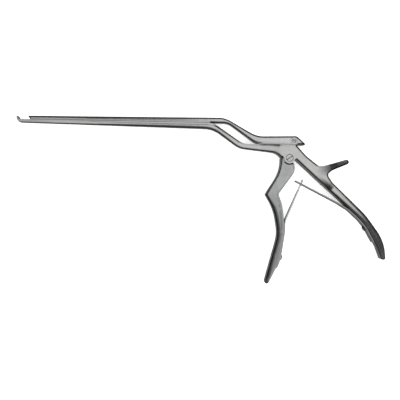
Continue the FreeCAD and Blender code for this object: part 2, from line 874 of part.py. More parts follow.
def leaf(label, path, side):
    """Sweep a leaf spring along an outline, beside it on one side, from its screwed end to its tip."""
    body = new_body(label)
    sketch = new_sketch(body, f"{label}_path")
    draw_open(sketch, "p", path)
    place = facing(as_point(path[0]), heading(path[0], path[1]))
    section = new_sketch(body, f"{label}_section", offset=place)
    near = running_gap * side
    far = (running_gap + leaf_thick) * side
    draw(section, "s", [
        (near, -leaf_width / 2, 0),
        (far, -leaf_width / 2, 0),
        (far, leaf_width / 2, 0),
        (near, leaf_width / 2, 0),
    ])
    strip = body.newObject("PartDesign::AdditivePipe", f"{label}_strip")
    strip.Profile = section
    strip.Spine = sketch
    doc.recompute()
    return body


# Rear spring: a leaf along the inner edge of the rear grip, then free, slotted near its tip
rear_path = [
    between(rear_lower, rear_toe, 0.79),
    rear_lower,
    between(rear_upper, rear_lower, 0.465)[:2] + (25.0,),
    (rear_leaf_bend_x, -rear_leaf_bend_drop, 60.0),
    (rear_leaf_tip_x, -rear_leaf_tip_drop, 0),
]
rear_leaf = leaf("rear_spring", rear_path, 1)
rear_tip_place = standing(as_point(rear_path[-1]), heading(rear_path[-1], rear_path[-2]))
sketch = new_sketch(rear_leaf, "rear_tip_outline", offset=rear_tip_place)
for side, sign in (("near", 1), ("far", -1)):
    draw(sketch, f"t_{side}", [
        (-stock, leaf_tip_width / 2 * sign, 0),
        (leaf_thick, leaf_tip_width / 2 * sign, 0),
        (leaf_taper_length, leaf_width / 2 * sign, 0),
        (leaf_taper_length, leaf_width * sign, 0),
        (-stock, leaf_width * sign, 0),
    ])
hook_room = leaf_neck_width / 2 + leaf_play
draw(sketch, "slot", [
    (hook_at - leaf_slot_length / 2, -hook_room, 0.4),
    (hook_at + leaf_slot_length / 2, -hook_room, 0.4),
    (hook_at + leaf_slot_length / 2, hook_room, 0.4),
    (hook_at - leaf_slot_length / 2, hook_room, 0.4),
])
pocket(rear_leaf, "rear_tip", sketch, 12.0, both_ways=True)
rear_hole_place = facing(rear_screw_point, rear_screw_out)
sketch = new_sketch(rear_leaf, "rear_leaf_hole_outline", offset=rear_hole_place)
draw_circle(sketch, "hole", leaf_screw_radius + leaf_play / 2)
pocket(rear_leaf, "rear_leaf_hole", sketch, 6.0, both_ways=True)

# Front spring: a leaf up the inner edge of the front handle, then free, its hooked tip through
# the slot of the rear spring
front_path = [
    between(front_toe, front_end, 0.3),
    front_toe,
    front_waist_low,
    (-front_waist_x, -front_leaf_lift_drop, 14.0),
    (front_leaf_tip_x, -front_leaf_tip_drop, 0),
]
front_leaf = leaf("front_spring", front_path, -1)
front_tip_place = standing(as_point(front_path[-1]), heading(front_path[-1], front_path[-2]))
sketch = new_sketch(front_leaf, "front_tip_outline", offset=front_tip_place)
for side, sign in (("near", 1), ("far", -1)):
    draw(sketch, f"t_{side}", [
        (-stock, leaf_hook_width / 2 * sign, 0),
        (leaf_hook_length, leaf_hook_width / 2 * sign, 0),
        (leaf_hook_length, leaf_neck_width / 2 * sign, 0),
        (leaf_neck_length, leaf_neck_width / 2 * sign, 0),
        (leaf_neck_length + 1.5, leaf_tip_width / 2 * sign, 0),
        (leaf_taper_length, leaf_width / 2 * sign, 0),
        (leaf_taper_length, leaf_width * sign, 0),
        (-stock, leaf_width * sign, 0),
    ])
pocket(front_leaf, "front_tip", sketch, 12.0, both_ways=True)
front_hole_place = facing(front_screw_point, front_screw_out)
sketch = new_sketch(front_leaf, "front_leaf_hole_outline", offset=front_hole_place)
draw_circle(sketch, "hole", leaf_screw_radius + leaf_play / 2)
pocket(front_leaf, "front_leaf_hole", sketch, 6.0, both_ways=True)


def screw(label, shank, head, chamfer, place):
    """Turn a slotted screw about Z, its head standing up from the origin, and put it in place."""
    shank_radius, shank_length = shank
    head_radius, head_height = head
    body = doc.addObject("PartDesign::Body", f"{label}_body")
    sketch = new_sketch(body, f"{label}_half", "XZ_Plane")
    draw(sketch, "h", [
        (0, -shank_length, 0),
        (shank_radius, -shank_length, 0),
        (shank_radius, 0, 0),
        (head_radius, 0, 0),
        (head_radius, head_height - chamfer, 0),
        (head_radius - chamfer, head_height, 0),
        (0, head_height, 0),
    ])
    turned = body.newObject("PartDesign::Revolution", f"{label}_turned")
    turned.Profile = sketch
    turned.ReferenceAxis = (sketch, ["V_Axis"])
    turned.Angle = 360.0
    doc.recompute()
    sketch = new_sketch(body, f"{label}_slot_outline", shift=head_height)
    draw(sketch, "s", [
        (-head_radius * 1.2, -slot_width / 2, 0),
        (head_radius * 1.2, -slot_width / 2, 0),
        (head_radius * 1.2, slot_width / 2, 0),
        (-head_radius * 1.2, slot_width / 2, 0),
    ])
    pocket(body, f"{label}_slot", sketch, slot_depth)
    body.Placement = place
    return body


def on_axis(x, y, z, turn):
    """Stand a screw on an axis along Z, its slot turned from X."""
    return FreeCAD.Placement(FreeCAD.Vector(x, y, z), FreeCAD.Rotation(FreeCAD.Vector(0, 0, 1), turn))


def on_edge(point, outward):
    """Stand a screw on a leaf at a point of a grip's inner edge."""
    rise = (running_gap + leaf_thick + head_lift).value
    seat = FreeCAD.Vector(point) + FreeCAD.Vector(outward) * rise
    seat.z = half_plate.value
    turned = FreeCAD.Rotation(FreeCAD.Vector(0, 0, 1), FreeCAD.Vector(outward))
    return FreeCAD.Placement(seat, turned)


pivot_floor = plate_thick - pivot_head_height
pivot = screw(
    "pivot_screw",
    (pivot_radius, pivot_floor - running_gap),
    (pivot_head_radius, pivot_head_height - running_gap),
    head_chamfer,
    on_axis(0, 0, pivot_floor.value, 35.0),
)
pin_floor = plate_thick - pin_head_height
pin = screw(
    "drive_screw",
    (pin_radius, pin_floor - running_gap),
    (pin_head_radius, pin_head_height - running_gap),
    head_chamfer,
    on_axis(pin_x.value, pin_y.value, pin_floor.value, -20.0),
)
leaf_screw_shank = (leaf_screw_radius, leaf_screw_length)
leaf_screw_head = (leaf_head_radius, leaf_head_height)
rear_screw = screw(
    "rear_spring_screw",
    leaf_screw_shank,
    leaf_screw_head,
    head_chamfer * 2,
    on_edge(rear_screw_point, rear_screw_out),
)
front_screw = screw(
    "front_spring_screw",
    leaf_screw_shank,
    leaf_screw_head,
    head_chamfer * 2,
    on_edge(front_screw_point, front_screw_out),
)


def close_to(box, point):
    """Tell whether a point lies within a millimetre or two of a box."""
    nearest = FreeCAD.Vector(
        min(max(point.x, box.XMin), box.XMax),
        min(max(point.y, box.YMin), box.YMax),
        min(max(point.z, box.ZMin), box.ZMax),
    )
    return nearest.distanceToPoint(point) < stock.value * 2


def soften(body, rows):
    """List the edges beside the given points, above and below the middle plane, with their radius."""
    edges = []
    for beside, half_width, radius in rows:
        for side in (half_width, -half_width):
            point = FreeCAD.Vector(beside.x, beside.y, (half_plate + side).value)
            close = [
                (edge.distToShape(Part.Vertex(point))[0], number)
                for number, edge in enumerate(body.Shape.Edges, start=1)
                if close_to(edge.BoundBox, point)
            ]
            edges.append((min(close)[1], radius.value, radius.value))
    return edges


grip_half = half_plate - grip_relief
palm_middle, _ = on_round(fixed_outline, fixed_outline.index(palm_high), 0)
inner_high = as_point(between(rear_upper, rear_lower, 0.5))
inner_low = as_point(between(rear_lower, rear_toe, 0.5))
fixed_soft = soften(fixed, [
    (as_point(between(shaft_tip, shaft_heel, 0.2)), tip_width / 2, shaft_under_edge),
    (palm_middle, grip_half, palm_round),
    (inner_high, grip_half, grip_inner_round),
    (inner_low, grip_half, grip_inner_round),
])
slide_soft = soften(slide, [
    (as_point(between(slide_tip, slide_heel, 0.15)), tip_width / 2, shaft_top_edge),
    (as_point(between(block_heel, block_crown, 0.5)), half_plate, block_edge),
])
finger_middle = as_point(between(finger_high, finger_low, 0.5))
front_soft = soften(front, [(finger_middle, half_plate, finger_round)])
pieces = [
    finish("fixed_shaft", fixed, fixed_soft),
    finish("sliding_shaft", slide, slide_soft),
    finish("front_handle", front, front_soft),
    finish("rear_spring", rear_leaf, []),
    finish("front_spring", front_leaf, []),
    finish("pivot_screw", pivot, []),
    finish("drive_screw", pin, []),
    finish("rear_spring_screw", rear_screw, []),
    finish("front_spring_screw", front_screw, []),
]
doc.recompute()

for item in doc.Objects:
    if "Invalid" in item.State or "Error" in item.State:
        raise RuntimeError(f"{item.Name} did not build: {item.State}")
for piece in pieces:
    if piece.Shape.isNull() or not piece.Shape.isValid() or len(piece.Shape.Solids) != 1:
        raise RuntimeError(f"{piece.Label} is not one sound solid")

os.makedirs("parts", exist_ok=True)
for piece in pieces:
    piece.Shape.exportStep(f"parts/{piece.Label}.step")
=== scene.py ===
import math

import bmesh
import bpy
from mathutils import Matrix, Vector


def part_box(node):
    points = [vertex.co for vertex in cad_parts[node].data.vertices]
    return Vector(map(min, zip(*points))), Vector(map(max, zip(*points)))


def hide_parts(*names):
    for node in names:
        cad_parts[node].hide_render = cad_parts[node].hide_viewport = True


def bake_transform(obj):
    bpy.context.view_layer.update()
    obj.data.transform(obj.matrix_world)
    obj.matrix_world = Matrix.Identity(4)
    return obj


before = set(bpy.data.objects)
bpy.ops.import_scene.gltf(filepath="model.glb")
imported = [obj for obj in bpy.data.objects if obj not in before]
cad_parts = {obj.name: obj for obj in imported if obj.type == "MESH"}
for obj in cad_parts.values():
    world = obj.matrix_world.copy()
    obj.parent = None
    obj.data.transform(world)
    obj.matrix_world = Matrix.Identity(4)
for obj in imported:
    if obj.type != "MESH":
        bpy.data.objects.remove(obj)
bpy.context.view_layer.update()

# Fixed shaft: one steel forging from the foot at the tip to the rear grip. It is milled to
# shape, its edges are broken by hand on a polishing wheel, and the whole is then brushed to
# a satin that doesn't dazzle under a lamp. The brushing runs along the straight shaft.


def add_node(tree, kind, place, **settings):
    """Add a node of one kind at a place in the editor, with the settings given."""
    node = tree.nodes.new(kind)
    node.location = place
    for key, value in settings.items():
        setattr(node, key, value)
    return node


def arithmetic(tree, operation, place, first, second=None, third=None):
    """Join a Math node to sockets or plain numbers and return its result."""
    node = add_node(tree, "ShaderNodeMath", place, operation=operation)
    for socket, value in zip(node.inputs, (first, second, third)):
        if value is None:
            continue
        if isinstance(value, (int, float)):
            socket.default_value = value
        else:
            tree.links.new(value, socket)
    return node.outputs[0]


def ramp(tree, place, value, start, end, low=0.0, high=1.0, shape="SMOOTHSTEP"):
    """Map a value between two marks to the range from low to high, held at both ends."""
    node = add_node(tree, "ShaderNodeMapRange", place, interpolation_type=shape)
    tree.links.new(value, node.inputs["Value"])
    node.inputs["From Min"].default_value = start
    node.inputs["From Max"].default_value = end
    node.inputs["To Min"].default_value = low
    node.inputs["To Max"].default_value = high
    return node.outputs["Result"]


def object_place(tree, place):
    """Return the position on the object, in metres in the shared frame."""
    return add_node(tree, "ShaderNodeTexCoord", place).outputs["Object"]


def draw_lines(group, inside):
    """Draw noise out into the lines of the brushing, slanted by the turn."""
    turn = add_node(group, "ShaderNodeCombineXYZ", (-900, 140))
    group.links.new(inside.outputs["Line Turn"], turn.inputs["Z"])
    rotate = add_node(group, "ShaderNodeVectorRotate", (-700, 240), rotation_type="EULER_XYZ")
    group.links.new(object_place(group, (-1100, 320)), rotate.inputs["Vector"])
    group.links.new(turn.outputs[0], rotate.inputs["Rotation"])
    run = add_node(group, "ShaderNodeCombineXYZ", (-700, 60))
    group.links.new(inside.outputs["Line Run"], run.inputs["X"])
    run.inputs["Y"].default_value = 1.0
    run.inputs["Z"].default_value = 1.0
    drawn = add_node(group, "ShaderNodeVectorMath", (-500, 200), operation="MULTIPLY")
    group.links.new(rotate.outputs[0], drawn.inputs[0])
    group.links.new(run.outputs[0], drawn.inputs[1])
    lines = add_node(group, "ShaderNodeTexNoise", (-300, 240), noise_dimensions="3D")
    group.links.new(drawn.outputs[0], lines.inputs["Vector"])
    group.links.new(inside.outputs["Line Density"], lines.inputs["Scale"])
    lines.inputs["Detail"].default_value = 3.0
    lines.inputs["Roughness"].default_value = 0.65
    return lines.outputs["Fac"]


# The clouds are this share as dense as the grains of the mottle
CLOUD_SHARE = 0.14


def strew_mottle(group, inside):
    """Lay what brushing and handling leave on steel: fine grains over soft clouds."""
    place = object_place(group, (-500, -60))
    grains = add_node(group, "ShaderNodeTexNoise", (-300, 0), noise_dimensions="3D")
    group.links.new(place, grains.inputs["Vector"])
    group.links.new(inside.outputs["Mottle Density"], grains.inputs["Scale"])
    grains.inputs["Detail"].default_value = 5.0
    grains.inputs["Roughness"].default_value = 0.7
    sparse = arithmetic(group, "MULTIPLY", (-500, -220), inside.outputs["Mottle Density"], CLOUD_SHARE)
    clouds = add_node(group, "ShaderNodeTexNoise", (-300, -240), noise_dimensions="3D")
    group.links.new(place, clouds.inputs["Vector"])
    group.links.new(sparse, clouds.inputs["Scale"])
    clouds.inputs["Detail"].default_value = 2.0
    return grains.outputs["Fac"], clouds.outputs["Fac"]


# How far the rounded normal turns from the face's own, as a cosine, from face to edge
EDGE_TURN = (0.999, 0.92)


def find_edges(group, inside):
    """Find the sharp edges, where the rounded normal leaves the face's own, and return both."""
    rounded = add_node(group, "ShaderNodeBevel", (-300, -480), samples=6)
    group.links.new(inside.outputs["Edge Width"], rounded.inputs["Radius"])
    face = add_node(group, "ShaderNodeNewGeometry", (-300, -640))
    meeting = add_node(group, "ShaderNodeVectorMath", (-100, -520), operation="DOT_PRODUCT")
    group.links.new(rounded.outputs[0], meeting.inputs[0])
    group.links.new(face.outputs["True Normal"], meeting.inputs[1])
    return ramp(group, (100, -520), meeting.outputs["Value"], *EDGE_TURN), rounded.outputs[0]


# A rounded normal over this share of the band's width, used only as a mask, tells the flats,
# the edges and the walls apart by how upright it stands. The edges and walls get painted shade.
BREAK_SHARE = 0.85
FLAT_LEAN = (0.85, 0.995)
WALL_LEAN = (0.5, 0.15)


def tell_faces(group, inside):
    """Tell the ground flats and the walls from the broken edges by how the normal leans."""
    reach = arithmetic(group, "MULTIPLY", (-500, -980), inside.outputs["Band Width"], BREAK_SHARE)
    broken = add_node(group, "ShaderNodeBevel", (-300, -980), samples=8)
    group.links.new(reach, broken.inputs["Radius"])
    upright = add_node(group, "ShaderNodeSeparateXYZ", (-100, -980))
    group.links.new(broken.outputs[0], upright.inputs[0])
    lean = arithmetic(group, "ABSOLUTE", (60, -980), upright.outputs["Z"])
    flats = ramp(group, (220, -980), lean, *FLAT_LEAN)
    walls = ramp(group, (220, -1200), lean, *WALL_LEAN)
    return flats, walls, broken.outputs[0]


# How open the steel is, seen from inside: 1 deep in a flat and 0.5 right at a square edge.
# The rim's painted highlight shows only on a broad band, whose width is given in metres.
BAND_OPEN = (0.96, 0.86)
RIM_OPEN = (0.8, 0.64)
RIM_SHARE = 0.16
BROAD_BAND = (0.0013, 0.0027)


def shade_band(group, inside):
    """Find the band of painted shade beside the edges, and its outer rim of painted highlight."""
    within = add_node(group, "ShaderNodeAmbientOcclusion", (-300, -1400), samples=12)
    within.inside = True
    within.only_local = True
    group.links.new(inside.outputs["Band Width"], within.inputs["Distance"])
    band = ramp(group, (100, -1400), within.outputs["AO"], *BAND_OPEN)
    rim = ramp(group, (100, -1800), within.outputs["AO"], *RIM_OPEN, high=RIM_SHARE)
    broad = ramp(group, (100, -2050), inside.outputs["Band Width"], *BROAD_BAND)
    return band, arithmetic(group, "MULTIPLY", (320, -1800), rim, broad)


# How squarely an edge faces the seam's side, as a cosine, and how clear it then stays
SEAM_TURN = (0.86, 0.97)
SEAM_SHARE = 0.85


def find_seam(group, inside, broken):
    """Find the edges on the seam's side, which stay sharp where another piece lies on them."""
    level = add_node(group, "ShaderNodeVectorMath", (-100, -1600), operation="MULTIPLY")
    group.links.new(broken, level.inputs[0])
    level.inputs[1].default_value = (1.0, 1.0, 0.0)
    outward = add_node(group, "ShaderNodeVectorMath", (60, -1600), operation="NORMALIZE")
    group.links.new(level.outputs[0], outward.inputs[0])
    facing = add_node(group, "ShaderNodeVectorMath", (220, -1600), operation="DOT_PRODUCT")
    group.links.new(outward.outputs[0], facing.inputs[0])
    group.links.new(inside.outputs["Seam Side"], facing.inputs[1])
    return ramp(group, (380, -1600), facing.outputs["Value"], *SEAM_TURN, high=SEAM_SHARE)


# The painted crevice shade lies within this distance of a neighbour, where the view out is this closed
CREVICE_SHADE_DISTANCE = 0.0014
CREVICE_SHADE_OPEN = (0.92, 0.45)


def gather_crevice_shade(group):
    """Find the slots and seams where the view out is closed, which get painted shade."""
    corner = add_node(group, "ShaderNodeAmbientOcclusion", (-300, -820), samples=8)
    corner.inputs["Distance"].default_value = CREVICE_SHADE_DISTANCE
    return ramp(group, (100, -820), corner.outputs["AO"], *CREVICE_SHADE_OPEN)


def brushed_finish():
    """Build the shader group for brushed steel: its lines, mottle, faces, bands and painted crevice
    shade.
    """
    group = bpy.data.node_groups.new("brushed_finish", "ShaderNodeTree")
    for name, start in (
        ("Line Density", 2600.0),
        ("Line Run", 0.03),
        ("Line Turn", 0.0),
        ("Mottle Density", 420.0),
        ("Edge Width", 0.0003),
        ("Band Width", 0.0011),
    ):
        socket = group.interface.new_socket(name, in_out="INPUT", socket_type="NodeSocketFloat")
        socket.default_value = start
    group.interface.new_socket("Seam Side", in_out="INPUT", socket_type="NodeSocketVector")
    for name in ("Lines", "Mottle", "Clouds", "Edges", "Flats", "Walls", "Rim", "Seam", "Crevice Shade"):
        group.interface.new_socket(name, in_out="OUTPUT", socket_type="NodeSocketFloat")
    group.interface.new_socket("Rounded", in_out="OUTPUT", socket_type="NodeSocketVector")
    inside = add_node(group, "NodeGroupInput", (-1100, 0))
    outside = add_node(group, "NodeGroupOutput", (900, 0))

    grains, clouds = strew_mottle(group, inside)
    edges, rounded = find_edges(group, inside)
    flats, walls, broken = tell_faces(group, inside)
    band, rim = shade_band(group, inside)
    seam = find_seam(group, inside, broken)
    clear = arithmetic(group, "SUBTRACT", (380, -1400), 1.0, band)
    ground = arithmetic(group, "MULTIPLY", (540, -1200), flats, clear)
    kept = arithmetic(group, "MAXIMUM", (700, -1200), ground, seam)
    for name, result in (
        ("Lines", draw_lines(group, inside)),
        ("Mottle", grains),
        ("Clouds", clouds),
        ("Edges", edges),
        ("Flats", kept),
        ("Walls", walls),
        ("Rim", rim),
        ("Seam", seam),
        ("Crevice Shade", gather_crevice_shade(group)),
        ("Rounded", rounded),
    ):
        group.links.new(result, outside.inputs[name])
    return group


finish_group = brushed_finish()


def swing(tree, place, mask, depth):
    """Let a mask swing a tone evenly about 1, by the depth given."""
    return arithmetic(tree, "MULTIPLY_ADD", place, mask, depth, 1.0 - depth / 2)


# The colour sockets of a Mix node, counted, because its other kinds share their names
BELOW = 6
OVER = 7
MIXED = 2


def lay_over(tree, place, share, below, colour):
    """Lay a colour over another by a share and return the mixture."""
    mixed = add_node(tree, "ShaderNodeMix", place, data_type="RGBA")
    tree.links.new(share, mixed.inputs["Factor"])
    tree.links.new(below, mixed.inputs[BELOW])
    mixed.inputs[OVER].default_value = (*colour, 1.0)
    return mixed.outputs[MIXED]


MOTTLE_DEPTH = 0.36
WORN_TONE = (0.86, 0.86, 0.85)
WORN_SHARE = 0.06
CREVICE_SHADE_TONE = (0.012, 0.012, 0.012)
CREVICE_SHADE_SHARE = 0.9
SEAM_CREVICE_SHADE_SHARE = 0.1


def colour_steel(tree, finish, tone, edge_tone, side_tone, line_depth):
    """Colour the flats, and the edges and walls in painted shade with a painted highlight at the rim,
    then mottle, lines, bare edges and painted crevice shade.
    """
    grains = swing(tree, (-650, 120), finish.outputs["Mottle"], MOTTLE_DEPTH)
    hazes = swing(tree, (-650, -40), finish.outputs["Clouds"], MOTTLE_DEPTH)
    lined = swing(tree, (-650, 280), finish.outputs["Lines"], line_depth)
    shade = arithmetic(tree, "MULTIPLY", (-450, 60), grains, hazes)
    shade = arithmetic(tree, "MULTIPLY", (-300, 160), shade, lined)

    sides = add_node(tree, "ShaderNodeMix", (-500, 520), data_type="RGBA")
    lit = arithmetic(tree, "MAXIMUM", (-650, 520), finish.outputs["Walls"], finish.outputs["Rim"])
    tree.links.new(lit, sides.inputs["Factor"])
    sides.inputs[BELOW].default_value = (*edge_tone, 1.0)
    sides.inputs[OVER].default_value = (*side_tone, 1.0)
    faced = add_node(tree, "ShaderNodeMix", (-300, 420), data_type="RGBA")
    faced.label = "ground flats"
    tree.links.new(finish.outputs["Flats"], faced.inputs["Factor"])
    tree.links.new(sides.outputs[MIXED], faced.inputs[BELOW])
    faced.inputs[OVER].default_value = (*tone, 1.0)
    tinted = add_node(tree, "ShaderNodeMix", (-120, 200), data_type="RGBA", blend_type="MULTIPLY")
    tinted.inputs["Factor"].default_value = 1.0
    tree.links.new(faced.outputs[MIXED], tinted.inputs[BELOW])
    tree.links.new(shade, tinted.inputs[OVER])

    bared = arithmetic(tree, "MULTIPLY", (-120, 20), finish.outputs["Edges"], WORN_SHARE)
    worn = lay_over(tree, (60, 200), bared, tinted.outputs[MIXED], WORN_TONE)
    # Painted shade in slots and seams, held back on the seam's side.
    seam_shade_drop = SEAM_CREVICE_SHADE_SHARE - CREVICE_SHADE_SHARE
    hold = arithmetic(tree, "MULTIPLY_ADD", (-100, -60), finish.outputs["Seam"], seam_shade_drop, CREVICE_SHADE_SHARE)
    depth = arithmetic(tree, "MULTIPLY", (60, 20), finish.outputs["Crevice Shade"], hold)
    return lay_over(tree, (240, 200), depth, worn, CREVICE_SHADE_TONE)


SEAM_DULLING = 0.6
ROUGHNESS_SWING = 0.16
EDGE_POLISH = 0.1


def dull_steel(tree, finish, surface, roughness, metal):
    """Set how metallic and how rough the steel is, duller at the rim and the seam."""
    seam_loss = -SEAM_DULLING * metal
    bare = arithmetic(tree, "MULTIPLY_ADD", (60, -60), finish.outputs["Rim"], -metal, metal)
    dull = arithmetic(tree, "MULTIPLY_ADD", (200, -60), finish.outputs["Seam"], seam_loss, bare)
    tree.links.new(dull, surface.inputs["Metallic"])
    low = roughness - ROUGHNESS_SWING / 2
    clouds = finish.outputs["Clouds"]
    uneven = arithmetic(tree, "MULTIPLY_ADD", (-450, -160), clouds, ROUGHNESS_SWING, low)
    polished = arithmetic(tree, "MULTIPLY", (-300, -260), finish.outputs["Edges"], EDGE_POLISH)
    spread = arithmetic(tree, "SUBTRACT", (-120, -180), uneven, polished)
    tree.links.new(spread, surface.inputs["Roughness"])


LINE_HEIGHT = 0.00003
LINE_STRENGTH = 0.35
GRAIN_SHARE = 0.6


def emboss_steel(tree, finish, surface):
    """Raise lines of a few hundredths of a millimetre over finer grains."""
    grains = arithmetic(tree, "MULTIPLY", (-450, -420), finish.outputs["Mottle"], GRAIN_SHARE)
    relief = arithmetic(tree, "ADD", (-300, -420), grains, finish.outputs["Lines"])
    bump = add_node(tree, "ShaderNodeBump", (-120, -420))
    bump.inputs["Strength"].default_value = LINE_STRENGTH
    bump.inputs["Distance"].default_value = LINE_HEIGHT
    tree.links.new(relief, bump.inputs["Height"])
    tree.links.new(finish.outputs["Rounded"], bump.inputs["Normal"])
    tree.links.new(bump.outputs[0], surface.inputs["Normal"])


LINE_SHEEN = 0.25


def steel(
    name,
    tone,
    edge_tone,
    side_tone,
    roughness,
    metal=1.0,
    line_turn=0.0,
    line_depth=0.16,
    density=420.0,
    band=0.0011,
    seam_side=(0.0, 0.0, 0.0),
):
    """Make satin steel: ground flats of one tone, painted shade and light on edges and walls, lines.
    """
    material = bpy.data.materials.new(name)
    material.use_nodes = True
    tree = material.node_tree
    surface = tree.nodes["Principled BSDF"]
    surface.inputs["Anisotropic"].default_value = LINE_SHEEN
    finish = add_node(tree, "ShaderNodeGroup", (-900, 0), node_tree=finish_group)
    finish.inputs["Line Turn"].default_value = line_turn
    finish.inputs["Mottle Density"].default_value = density
    finish.inputs["Band Width"].default_value = band
    finish.inputs["Seam Side"].default_value = seam_side
    colour = colour_steel(tree, finish, tone, edge_tone, side_tone, line_depth)
    tree.links.new(colour, surface.inputs["Base Color"])
    dull_steel(tree, finish, surface, roughness, metal)
    emboss_steel(tree, finish, surface)
    return material


def dress(node_name, material):
    """Give a CAD node its finish."""
    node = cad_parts[node_name]
    node.data.materials.clear()
    node.data.materials.append(material)


def finish_of(material):
    """Return the node that places the brushed finish in a material."""
    return next(node for node in material.node_tree.nodes if node.type == "GROUP")


def grow_band(material, along, start, end, widths):
    """Vary the band of painted shade beside the edges along a limb, through even steps of width."""
    tree = material.node_tree
    reach = add_node(tree, "ShaderNodeVectorMath", (-1500, -200), operation="DOT_PRODUCT")
    tree.links.new(object_place(tree, (-1700, -200)), reach.inputs[0])
    reach.inputs[1].default_value = along
    share = ramp(tree, (-1300, -200), reach.outputs["Value"], start, end, shape="LINEAR")
    curve = add_node(tree, "ShaderNodeFloatCurve", (-1100, -200))
    points = curve.mapping.curves[0].points
    widest = max(widths)
    last = len(widths) - 1
    points[0].location = (0.0, widths[0] / widest)
    points[1].location = (1.0, widths[-1] / widest)
    for step in range(1, last):
        points.new(step / last, widths[step] / widest)
    curve.mapping.update()
    tree.links.new(share, curve.inputs["Value"])
    width = arithmetic(tree, "MULTIPLY", (-1000, -350), curve.outputs[0], widest)
    tree.links.new(width, finish_of(material).inputs["Band Width"])


def oval_place(tree, place, centre, turn, reach):
    """Return the position in an oval's own axes, where its rim lies 1 from its centre."""
    local = add_node(tree, "ShaderNodeMapping", place, vector_type="TEXTURE")
    tree.links.new(object_place(tree, (place[0] - 200, place[1])), local.inputs["Vector"])
    local.inputs["Location"].default_value = (*centre, 0.0)
    local.inputs["Rotation"].default_value = (0.0, 0.0, math.radians(turn))
    local.inputs["Scale"].default_value = (*reach, 1.0)
    apart = add_node(tree, "ShaderNodeVectorMath", (place[0] + 200, place[1]), operation="LENGTH")
    tree.links.new(local.outputs[0], apart.inputs[0])
    return local.outputs[0], apart.outputs["Value"]


# The seat's band has this share of the width round it, and regains it between these radii
SEAT_BAND_SHARE = 0.12
SEAT_EDGE = (0.95, 1.15)


def ease_seat(material, centre, radius):
    """Keep the band narrow round a screw's seat, whose edge is only just broken."""
    tree = material.node_tree
    width_socket = finish_of(material).inputs["Band Width"]
    before = width_socket.links[0].from_socket
    apart = oval_place(tree, (-1500, -600), centre, 0.0, (radius, radius))[1]
    share = ramp(tree, (-1100, -600), apart, *SEAT_EDGE, low=SEAT_BAND_SHARE, shape="LINEAR")
    width = arithmetic(tree, "MULTIPLY", (-950, -500), before, share)
    tree.links.new(width, width_socket)


# The oval's painted shade fades in from its rim, and a cut ends it across its middle
OVAL_FADE = (1.0, 0.25)
CUT_EDGE = (0.04, -0.04)


def paint_shade(material, centre, turn, reach, depth, cut=False):
    """Paint shade on the flats in an oval about a place, or only in the half of it before a cut."""
    tree = material.node_tree
    faced = next(node for node in tree.nodes if node.label == "ground flats")
    before = faced.inputs["Factor"].links[0].from_socket
    local, apart = oval_place(tree, (-1300, 700), centre, turn, reach)
    share = ramp(tree, (-900, 700), apart, *OVAL_FADE, high=depth)
    if cut:
        parts = add_node(tree, "ShaderNodeSeparateXYZ", (-1100, 900))
        tree.links.new(local, parts.inputs[0])
        end = ramp(tree, (-900, 900), parts.outputs["X"], *CUT_EDGE, shape="LINEAR")
        share = arithmetic(tree, "MULTIPLY", (-700, 800), share, end)
    rest = arithmetic(tree, "SUBTRACT", (-600, 700), 1.0, share)
    level = arithmetic(tree, "MULTIPLY", (-450, 600), before, rest)
    tree.links.new(level, faced.inputs["Factor"])


# Painted shade: the edges and their bands are set near black, and the walls grey.
EDGE_SHADE_TONE = (0.02, 0.02, 0.02)
WALL_SHADE_TONE = (0.3, 0.3, 0.298)
shaft_steel = steel(
    "forged_shaft_steel",
    tone=(0.4, 0.4, 0.397),
    edge_tone=EDGE_SHADE_TONE,
    side_tone=WALL_SHADE_TONE,
    roughness=0.34,
    seam_side=(0.0, 1.0, 0.0),
)

# Its bands of painted shade, in metres, at even steps from the tip down to the end of the rear grip
DOWN_THE_SHAFT = (0.69, -0.72, 0.0)
TIP_REACH = -0.155
GRIP_END_REACH = 0.085
SHAFT_BANDS = (0.0005, 0.0009, 0.0019, 0.0022, 0.0014, 0.0015, 0.0016, 0.0027, 0.0042)
grow_band(shaft_steel, DOWN_THE_SHAFT, TIP_REACH, GRIP_END_REACH, SHAFT_BANDS)
PIVOT_AT = (0.0, 0.0)
PIVOT_SEAT_RADIUS = 0.0046
ease_seat(shaft_steel, PIVOT_AT, PIVOT_SEAT_RADIUS)

# Its ovals of painted shade, the first a painted shadow under the slide; metres and degrees
UNDER_THE_SLIDE = {"centre": (-0.0073, 0.0099), "turn": 0.0, "reach": (0.0095, 0.003)}
BEFORE_THE_GRIP = {"centre": (0.0312, -0.0234), "turn": -42.3, "reach": (0.0175, 0.0049)}
UP_THE_SPUR = {"centre": (0.037, -0.0052), "turn": 16.0, "reach": (0.0195, 0.008)}
BEHIND_THE_FOOT = {"centre": (-0.205, 0.024), "turn": 0.0, "reach": (0.04, 0.02)}
paint_shade(shaft_steel, **UNDER_THE_SLIDE, depth=0.7, cut=True)
paint_shade(shaft_steel, **BEFORE_THE_GRIP, depth=0.97, cut=True)
paint_shade(shaft_steel, **UP_THE_SPUR, depth=0.9)
paint_shade(shaft_steel, **BEHIND_THE_FOOT, depth=0.2)
dress("fixed_shaft", shaft_steel)

# Sliding shaft: a milled steel bar that runs on the fixed one by a T rail. Its nose is ground
# to a cutting edge, and its brushing runs along it. Its underside stays sharp where it runs on
# the fixed shaft, and is broken where it stands free, over the bayonet and at the beak, where it
# carries a dark edge of painted shade.
SLIDE_LINE_DEPTH = 0.2
slide_steel = steel(
    "sliding_shaft_steel",
    tone=(0.42, 0.42, 0.417),
    edge_tone=EDGE_SHADE_TONE,
    side_tone=WALL_SHADE_TONE,
    roughness=0.31,
    line_depth=SLIDE_LINE_DEPTH,
    seam_side=(0.0, -1.0, 0.0),
)


